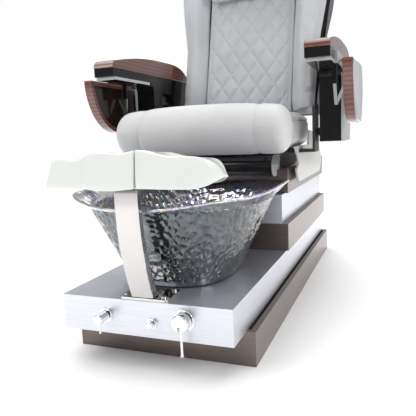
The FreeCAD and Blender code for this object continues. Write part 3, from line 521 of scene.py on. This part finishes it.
basin = {
    "foot": (0.146, 0.186),       # half width, half length
    "mouth": (0.240, 0.268),
    "rim": (0.284, 0.306),
    "squareness": 2.7,
    "wall": 0.008,
    "mouthHeight": 0.391,
    "rimFront": 0.403,            # the rim rises and dips as it goes round
    "rimSide": 0.429,
    "dent": 0.0036,
    "dentSize": (0.0155, 0.027),  # across, up and down
    "lipDent": 0.35,              # share of the dent on the rim
    "ridge": 0.35,                # width of the edges between the hammer marks
    "cup": 0.6,                   # how far the middle of a mark rises again
    "ripple": (0.003, 5, 0.6),    # height, waves round the rim, start of the first
    "around": 360,
    "rows": 160,
}


def basinProfile(v, turn, low):
    # share of the foot-to-mouth spread, extra reach and height, up the outside, over the rim
    # and down the inside
    side = abs(math.cos(turn)) ** 1.3
    height, waves, start = basin["ripple"]
    rimTop = basin["rimFront"] + (basin["rimSide"] - basin["rimFront"]) * side
    rimTop += height * math.sin(waves * turn + start)
    mouth = basin["mouthHeight"]
    wall = basin["wall"]
    marks = [
        (0.00, 0, -1.0, low), (0.02, 0, -0.012, low),
        (0.035, 0, -0.003, low + 0.002), (0.05, 0, 0.0, low + 0.010),
        (0.42, 1, 0.0, mouth - 0.006), (0.44, 1, 0.004, mouth),
        (0.485, 1, 0.038, rimTop - 0.007), (0.495, 1, 0.044, rimTop - 0.002),
        (0.505, 1, 0.043, rimTop + 0.003), (0.515, 1, 0.038, rimTop + 0.003),
        (0.56, 1, -wall + 0.001, mouth + 0.002), (0.575, 1, -wall - 0.002, mouth - 0.006),
        (0.92, 0, -wall, low + 0.024), (0.94, 0, -wall - 0.004, low + 0.012),
        (0.955, 0, -wall - 0.014, low + 0.008), (1.0, 0, -1.0, low + 0.008),
    ]
    for near, far in zip(marks, marks[1:]):
        if v <= far[0]:
            t = (v - near[0]) / (far[0] - near[0])
            return [near[k] + (far[k] - near[k]) * t for k in (1, 2, 3)]
    return marks[-1][1:]


def makeBasin():
    low, high = boxOf("basin")
    centre = (low.y + high.y) / 2
    power = 2 / basin["squareness"]
    lipStretch = (basin["rim"][1] - basin["mouth"][1]) / (basin["rim"][0] - basin["mouth"][0])

    def rule(u, v):
        turn = 2 * math.pi * u
        share, reach, height = basinProfile(v, turn, low.z)
        c = math.copysign(abs(math.cos(turn)) ** power, math.cos(turn))
        s = math.copysign(abs(math.sin(turn)) ** power, math.sin(turn))
        halfWidth = basin["foot"][0] + (basin["mouth"][0] - basin["foot"][0]) * share
        halfLength = basin["foot"][1] + (basin["mouth"][1] - basin["foot"][1]) * share
        halfWidth = max(halfWidth + reach, 0.0)
        halfLength = max(halfLength + reach * (lipStretch if reach > 0 else 1), 0.0)
        return Vector((halfWidth * c, centre + halfLength * s, height))

    bowl = addSkin("glassBasin", basin["around"], basin["rows"], rule)
    across, tall = basin["dentSize"]
    normals = [point.normal.copy() for point in bowl.data.vertices]
    for point, normal in zip(bowl.data.vertices, normals):
        p = point.co
        wallShare = ease((p.z - low.z - 0.006) / 0.02) * ease((high.z + 0.03 - p.z) / 0.02)
        onLip = p.z > basin["mouthHeight"] + 0.002
        lipShare = basin["lipDent"] if onLip else 1.0
        spot = Vector((p.x / across, p.y / across, p.z / (across if onLip else tall)))
        near = noise.voronoi(spot)[0]
        cup = min(near[0], 1.0)
        ridge = ease((near[1] - near[0]) / basin["ridge"])
        point.co = p - normal * basin["dent"] * (ridge * (1 - basin["cup"] * cup)) * wallShare * lipShare
    fit(bowl, "basin")
    bowl.data.materials.append(oilSlickGlass())
    for face in bowl.data.polygons:
        spot = face.center
        outward = Vector((spot.x, spot.y - centre, 0)).dot(face.normal)
        inside = outward < 0 and spot.z > low.z + 0.005
        if inside or spot.z > basin["mouthHeight"] + 0.001:
            face.material_index = 1


def oilSlickGlass():
    # the inner coating: mirror flakes that shift through blue, violet, gold and green
    finish = Finish("oilSlickGlass", Metallic=0.72, Coat_Weight=0.8, Coat_Roughness=0.03)
    where = finish.place()
    drift = finish.grain(where, 9, 5, 0.6)
    flake = finish.cells(where, 150, out=1)
    sparkle = finish.node("SeparateColor", None, {0: flake})
    band = drift * 2.2 + sparkle * 0.55
    wrapped = finish.node("Math", {"operation": "FRACT"}, {0: band})
    hue = finish.ramp(wrapped, [
        (0.0, (0.55, 0.58, 0.62)), (0.14, (0.20, 0.40, 0.85)),
        (0.28, (0.60, 0.28, 0.75)), (0.40, (0.90, 0.93, 0.96)),
        (0.52, (0.88, 0.58, 0.28)), (0.64, (0.26, 0.70, 0.55)),
        (0.76, (0.16, 0.17, 0.20)), (0.88, (0.80, 0.83, 0.92)),
    ])
    tone = finish.mix(sparkle * 0.5 + 0.35, (0.55, 0.57, 0.60), hue)
    finish.set({"Base Color": tone, "Roughness": 0.05 + sparkle * 0.12})
    finish.bump(sparkle, 0.0006, 0.5)
    return finish.material


makeBasin()
print("basin made")

# footrest

footrest = {
    "wall": 0.005,
    "edge": 0.014,
    "sideDraft": 0.010,     # how far the walls lean in from bottom to top
    "cuts": 40,
    "crossCuts": 10,
    "creaseRound": 40,      # degrees: sharper edges than this are rounded
    "gapHalf": 0.0015,
    "dip": 0.006,           # hollow along the top
    "backDrop": 0.010,      # how much lower the top's back edge is
    # lines along X: top and low are heights above the bracket, front and back are from the deck's front
    "left": {
        "ends": (-0.219, 0.029),
        "tipLean": (0.020, 0.0),
        "top": [(-0.218, 0.056), (-0.196, 0.061), (-0.150, 0.062), (-0.115, 0.064),
                (-0.085, 0.074), (-0.050, 0.079), (-0.008, 0.074), (0.029, 0.080)],
        "front": [(-0.218, -0.046), (-0.150, -0.053), (-0.104, -0.056), (-0.098, -0.060),
                  (-0.040, -0.064), (0.029, -0.056)],
        "low": [(-0.218, -0.006), (-0.105, -0.007), (-0.080, -0.010), (-0.030, -0.012), (0.029, -0.008)],
        "back": [(-0.218, 0.060), (-0.150, 0.092), (-0.060, 0.104), (0.029, 0.104)],
    },
    "right": {
        "ends": (0.029, 0.219),
        "tipLean": (0.0, 0.004),
        "top": [(0.029, 0.081), (0.054, 0.079), (0.105, 0.067), (0.148, 0.065),
                (0.180, 0.061), (0.205, 0.046), (0.219, 0.022)],
        "front": [(0.029, -0.055), (0.090, -0.058), (0.165, -0.053), (0.196, -0.034), (0.219, 0.000)],
        "low": [(0.029, -0.007), (0.165, -0.008), (0.196, -0.001), (0.219, 0.014)],
        "back": [(0.029, 0.104), (0.120, 0.102), (0.180, 0.086), (0.219, 0.040)],
    },
    "metalEdges": {
        "footrest_post": ("footrestPost", 0.004),
        "footrest_base_plate": ("footrestFootPlate", 0.0012),
        "footrest_bracket": ("footrestBracket", 0.0012),
    },
}


def shapePad(name, node, side, start, end):
    # a moulded pad with an open underside: a block cut into slices, each slice set by smooth lines along it
    row = footrest[side]
    plate = boxOf("footrest_bracket")[1].z
    frontLine = boxOf("deck")[0].y
    front, back, low, top = (
        [(x, value + offset) for x, value in row[key]]
        for key, offset in (("front", frontLine), ("back", frontLine), ("low", plate), ("top", plate)))
    bpy.ops.mesh.primitive_cube_add(size=2)
    pad = bpy.context.object
    pad.name = name
    cutAlong(pad, 0, footrest["cuts"])
    cutAlong(pad, 1, footrest["crossCuts"])

    def rule(p):
        t = (p.x + 1) / 2
        x = start + (end - start) * t
        up = (p.z + 1) / 2
        x += row["tipLean"][0] * (1 - t) ** 6 * up - row["tipLean"][1] * t ** 6 * up
        draft = footrest["sideDraft"] * up
        yFront = follow(front, x) + draft
        yBack = follow(back, x) - draft
        y = yFront + (yBack - yFront) * (p.y + 1) / 2
        zLow = follow(low, x)
        hollow = footrest["dip"] * (1 - abs(p.y)) * math.sin(math.pi * t)
        zTop = follow(top, x) - footrest["backDrop"] * ease((p.y + 1) / 2) - hollow
        return Vector((x, y, zLow + (zTop - zLow) * up))

    sculpt(pad, rule)
    dropFaces(pad, lambda face: face.normal.z < -0.7)
    apply(pad, "BEVEL", width=footrest["edge"], segments=5, limit_method="ANGLE",
          angle_limit=math.radians(footrest["creaseRound"]))
    apply(pad, "SOLIDIFY", thickness=footrest["wall"], offset=-1)
    apply(pad, "SUBSURF", levels=1, render_levels=1)
    smooth(pad, 50)
    fit(pad, node)


def makeFootrest():
    half = footrest["gapHalf"]
    start, gap = footrest["left"]["ends"]
    shapePad("leftFootPad", "footrest_pad_left", "left", start, gap - half)
    gap, end = footrest["right"]["ends"]
    shapePad("rightFootPad", "footrest_pad_right", "right", gap + half, end)
    for node, (name, radius) in footrest["metalEdges"].items():
        fit(roundedCopy(node, name, radius), node)


makeFootrest()
print("footrest made")

# upholstery

cushions = {
    # shrink before swelling, size of the remeshed squares, how far a point may swell, rounds of easing
    "seatRoll": {
        "node": "seat_roll", "shrink": 0.004, "square": 0.006, "cap": 0.010, "easing": 6, "fill": 0.85},
    "seatCushion": {
        "node": "seat_cushion", "shrink": 0.006, "square": 0.007, "cap": 0.014, "easing": 8, "fill": 0.8},
    "backBolsters": {
        "node": "back_bolsters", "shrink": 0.005, "square": 0.008, "cap": 0.009,
        "easing": 10, "fill": 0.75},
    "headPillow": {
        "node": "head_pillow", "shrink": 0.006, "square": 0.006, "cap": 0.014, "easing": 8, "fill": 0.7},
}
cloth = {"pressure": 4.0, "frames": 20, "stiffness": 12, "bending": 0.6}
bolster = {
    "seam": 0.184, "valley": 0.046, "rise": 0.044, "slope": 0.042,
    "lead": 0.006,                # the slope starts this much inside the seam
    "headRoom": 0.05,             # left as it is above the quilted panel
    "outerSeam": (0.236, 0.030, 0.55),   # half width at the bottom, its spread, and over what height
    "seamDepth": 0.0016, "seamWidth": 0.0024,
    "fold": 0.0022, "foldSize": (6, 26), "foldTop": 0.62, "foldFade": 0.4,
    "faceFrom": -0.02,
}
rollSewing = {
    "seam": 0.185, "pinch": 0.0022, "sharp": 0.0022, "soft": 0.014,
    "crown": 0.016, "crownPower": 2.4,
}
cushionSewing = {"band": 0.030, "depth": 0.0035, "above": 0.030}


def startCushion(name, row):
    piece = copyNode(row["node"], name)
    apply(piece, "REMESH", mode="VOXEL", voxel_size=row["square"])
    if name == "backBolsters":
        slopeBolsters(piece)
    apply(piece, "SMOOTH", factor=0.5, iterations=row["easing"])
    apply(piece, "DISPLACE", strength=-row["shrink"], mid_level=0.0)
    return piece


def slopeBolsters(piece):
    # the bolsters rise from the seam beside the quilted panel instead of standing up square
    high = boxOf("back_cushion")[1]
    backTop = upright(Vector((0, high.y, high.z))).z

    def rule(p):
        local = upright(p)
        if local.z > backTop - bolster["headRoom"]:
            return p
        share = (abs(local.x) - bolster["seam"] + bolster["lead"]) / bolster["slope"]
        rise = bolster["valley"] + bolster["rise"] * ease(share)
        return lean(local.x, max(local.y, -rise), local.z)

    sculpt(piece, rule)


def swell(pieces):
    # one cloth run for all the cushions: air pressure inside a leather skin, with no gravity
    starts = {}
    for piece in pieces:
        starts[piece] = [point.co.copy() for point in piece.data.vertices]
        skin = piece.modifiers.new("Cloth", "CLOTH")
        skin.settings.use_pressure = True
        skin.settings.uniform_pressure_force = cloth["pressure"]
        skin.settings.tension_stiffness = cloth["stiffness"]
        skin.settings.compression_stiffness = cloth["stiffness"]
        skin.settings.bending_stiffness = cloth["bending"]
        skin.settings.effector_weights.gravity = 0
        skin.settings.quality = 4
    for step in range(1, cloth["frames"] + 1):
        bpy.context.scene.frame_set(step)
    graph = bpy.context.evaluated_depsgraph_get()
    for piece in pieces:
        swollen = piece.evaluated_get(graph).data
        cap = cushions[piece.name]["cap"]
        ends = [point.co.copy() for point in swollen.vertices]
        for point, start, end in zip(piece.data.vertices, starts[piece], ends):
            move = end - start
            point.co = start + move * min(1.0, cap / max(move.length, 1e-6))
        piece.modifiers.clear()
        piece.data.update()
    bpy.context.scene.frame_set(1)


def groove(distance, depth, width):
    return depth * math.exp(-(distance / width) ** 2)


def sewRoll(piece):
    low, high = boxOf("seat_roll")
    centre = Vector((0, (low.y + high.y) / 2, (low.z + high.z) / 2))
    ends = high.x

    def rule(p):
        away = p - centre
        away.x = 0
        crown = rollSewing["crown"] * (abs(p.x) / ends) ** rollSewing["crownPower"]
        fromSeam = abs(p.x) - rollSewing["seam"]
        pinch = groove(fromSeam, rollSewing["pinch"], rollSewing["sharp"])
        pinch += groove(fromSeam, rollSewing["pinch"], rollSewing["soft"])
        reach = away.length
        if reach < 0.02 or p.y > high.y - 0.004:
            return p
        return p - away / reach * (crown * max(away.z / reach, 0.0) + pinch)

    sculpt(piece, rule)


def sewCushion(piece):
    low, high = boxOf("seat_cushion")
    seamHeight = (low.z + high.z) / 2 + cushionSewing["above"]

    def rule(p):
        if high.x - abs(p.x) >= cushionSewing["band"]:
            return p
        depth = groove(p.z - seamHeight, cushionSewing["depth"], cushionSewing["depth"])
        return p - Vector((math.copysign(depth, p.x), 0, 0))

    sculpt(piece, rule)


def sewBolsters(piece):
    halfWidth, spread, height = bolster["outerSeam"]
    foldX, foldZ = bolster["foldSize"]

    def rule(p):
        local = upright(p)
        if local.y >= bolster["faceFrom"]:
            return lean(local.x, local.y, local.z)
        edgeLine = halfWidth + spread * ease(local.z / height)
        depth = groove(abs(local.x) - edgeLine, bolster["seamDepth"], bolster["seamWidth"])
        crease = noise.noise(Vector((local.x * foldX, local.z * foldZ, 3.0 if local.x > 0 else 7.0)))
        fade = ease((bolster["foldTop"] - local.z) / bolster["foldFade"])
        return lean(local.x, local.y + depth + bolster["fold"] * max(crease, 0.0) * fade, local.z)

    sculpt(piece, rule)


quilt = {
    "halfWidth": 0.1815,
    "low": 0.042,
    "high": 0.788,
    "face": -0.0395,       # the seams' depth, and the puffs rise from it
    "diamond": (0.0736, 0.105),
    "puff": 0.0062,
    "softness": 0.0095,
    "edge": 0.012,
    "rear": 0.011,
    "border": 0.004,       # plain leather between the quilting and the rolled edge
    "belly": 0.004,
    "squares": (150, 300),
    "fill": 0.7,
}


def makeQuiltedBack():
    half = quilt["halfWidth"]
    low, high = quilt["low"], quilt["high"]
    wide, tall = quilt["diamond"]
    pitch = 1 / math.hypot(1 / wide, 1 / tall)

    def rule(u, v):
        x = -half + 2 * half * u
        z = low + (high - low) * v
        inner = min(half - abs(x), z - low, high - z)
        seams = []
        for slant in (1, -1):
            place = x / wide + slant * z / tall
            seams.append(abs(place - round(place)) * pitch)
        border = max(inner - quilt["edge"] - quilt["border"], 0.0)
        near = min(seams[0], seams[1], border)
        puff = quilt["puff"] * (1 - math.exp(-near / quilt["softness"]))
        y = quilt["face"] - puff - quilt["belly"] * (1 - (x / half) ** 2)
        roll = max(quilt["edge"] - inner, 0.0) / quilt["edge"]
        y += quilt["edge"] * (1 - math.sqrt(max(1 - roll * roll, 0.0)))
        if inner < 0.0005:
            y = quilt["rear"]
        return lean(x, y, z)

    panel = addSkin("quiltedBack", *quilt["squares"], rule, closed=False)
    edit(panel, (bpy.ops.mesh.select_all, {"action": "DESELECT"}),
         (bpy.ops.mesh.select_non_manifold, {}), (bpy.ops.mesh.edge_face_add, {}),
         (bpy.ops.mesh.select_all, {"action": "SELECT"}),
         (bpy.ops.mesh.normals_make_consistent, {"inside": False}))
    smooth(panel, 60)
    fit(panel, "back_cushion")


sewing = {"seatRoll": sewRoll, "seatCushion": sewCushion, "backBolsters": sewBolsters}


def makeUpholstery():
    made = [startCushion(name, row) for name, row in cushions.items()]
    swell(made)
    for piece in made:
        row = cushions[piece.name]
        apply(piece, "SUBSURF", levels=1, render_levels=1)
        if piece.name in sewing:
            sewing[piece.name](piece)
        smooth(piece)
        fit(piece, row["node"])
    makeQuiltedBack()


makeUpholstery()
print("upholstery made")

# arms, trays, shells

softEdges = {
    # node: name of the finished moulding, radius of its edges
    "arm_frame_left": ("leftArmBody", 0.016), "arm_frame_right": ("rightArmBody", 0.016),
    "arm_cap_left": ("leftArmVeneer", 0.016), "arm_cap_right": ("rightArmVeneer", 0.016),
    "arm_shell_left": ("leftArmSidePlate", 0.0035), "arm_shell_right": ("rightArmSidePlate", 0.0035),
    "tray_rim_left": ("leftTrayRim", 0.006), "tray_rim_right": ("rightTrayRim", 0.006),
    "tray_panel_left": ("leftTrayBed", 0.003), "tray_panel_right": ("rightTrayBed", 0.003),
    "tray_shell_left": ("leftTrayOuterShell", 0.003), "tray_shell_right": ("rightTrayOuterShell", 0.003),
    "skirt_left": ("leftSkirt", 0.003), "skirt_right": ("rightSkirt", 0.003),
    "back_shell": ("backShell", 0.012),
    "service_panel": ("servicePanel", 0.0012),
}


def makeMouldings():
    for node, (name, radius) in softEdges.items():
        piece = fit(roundedCopy(node, name, radius), node)
        if node.startswith("arm_shell"):
            # the silver side plate turns in below the arm, where its underside is black
            piece.data.materials.append(finishes["plastic_black"])
            for face in piece.data.polygons:
                face.material_index = int(face.normal.z < -0.8)


makeMouldings()
print("arms, trays and shells made")
